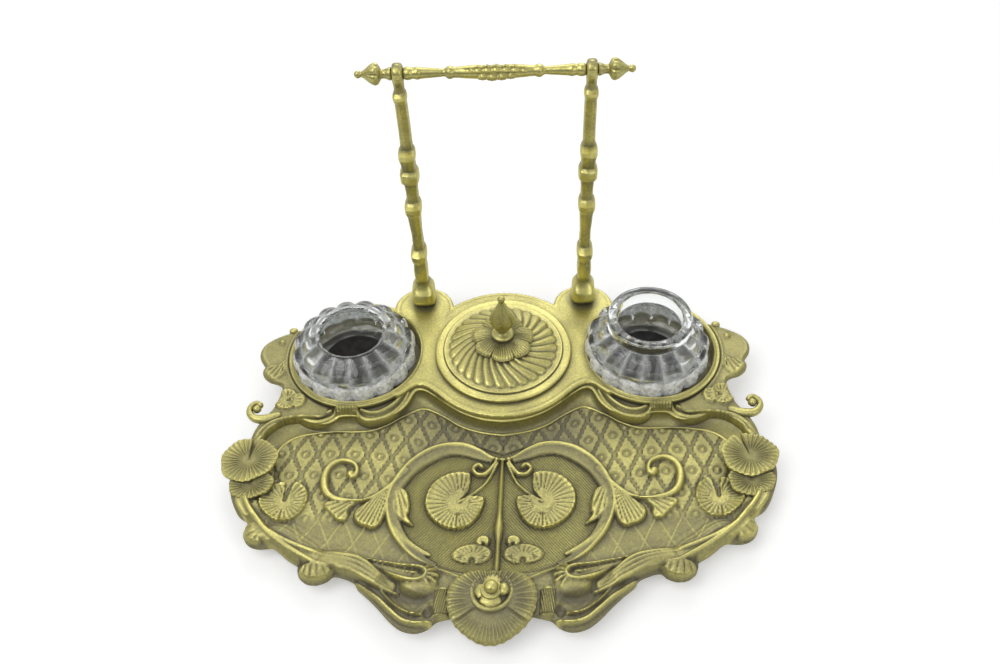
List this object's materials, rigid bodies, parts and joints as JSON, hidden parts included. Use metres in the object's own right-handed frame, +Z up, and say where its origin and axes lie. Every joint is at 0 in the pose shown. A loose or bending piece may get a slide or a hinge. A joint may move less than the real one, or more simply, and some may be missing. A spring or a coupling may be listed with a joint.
{
  "type": "desk inkstand",
  "caption": "Cast gilt-brass desk inkstand: scrolled pen tray with water-lily leaves, glass inkwells in seats, lidded stamp cup and a pen rest on scroll uprights.",
  "frame": {"origin": "middle of the footprint on the table, under the feet", "axes": "+Z up, +X to the right seen from the front, the tray's front faces -Y"},
  "size_m": [0.2936, 0.2251, 0.1847],
  "materials": {
    "cast_brass": "cast, gilded, worn",
    "polished_brass": "satin",
    "dull_brass": "dull",
    "clear_glass": "pressed, clear"
  },
  "bodies": {
    "stand": {"base_casting": "cast_brass", "stamp_cup": "dull_brass", "left_upright": "polished_brass", "right_upright": "polished_brass", "left_upright_screw": "dull_brass", "right_upright_screw": "dull_brass", "left_upright_washer": "dull_brass", "right_upright_washer": "dull_brass", "crossbar": "polished_brass", "left_finial": "polished_brass", "right_finial": "polished_brass", "front_left_foot": "dull_brass", "front_right_foot": "dull_brass", "back_left_foot": "dull_brass", "back_right_foot": "dull_brass"},
    "lid": {"lid_plate": "polished_brass", "lid_leaf": "polished_brass", "lid_knob": "polished_brass", "lid_nut": "dull_brass"},
    "left_well": {"left_inkwell": "clear_glass"},
    "right_well": {"right_inkwell": "clear_glass"}
  },
  "joints": [
    {"name": "lid_lift", "type": "slide", "parent": "stand", "child": "lid", "axis": [0, 0, 1], "range_m": [0, 0.04]},
    {"name": "left_well_lift", "type": "slide", "parent": "stand", "child": "left_well", "axis": [0, 0, 1], "range_m": [0, 0.05]},
    {"name": "right_well_lift", "type": "slide", "parent": "stand", "child": "right_well", "axis": [0, 0, 1], "range_m": [0, 0.05]}
  ]
}
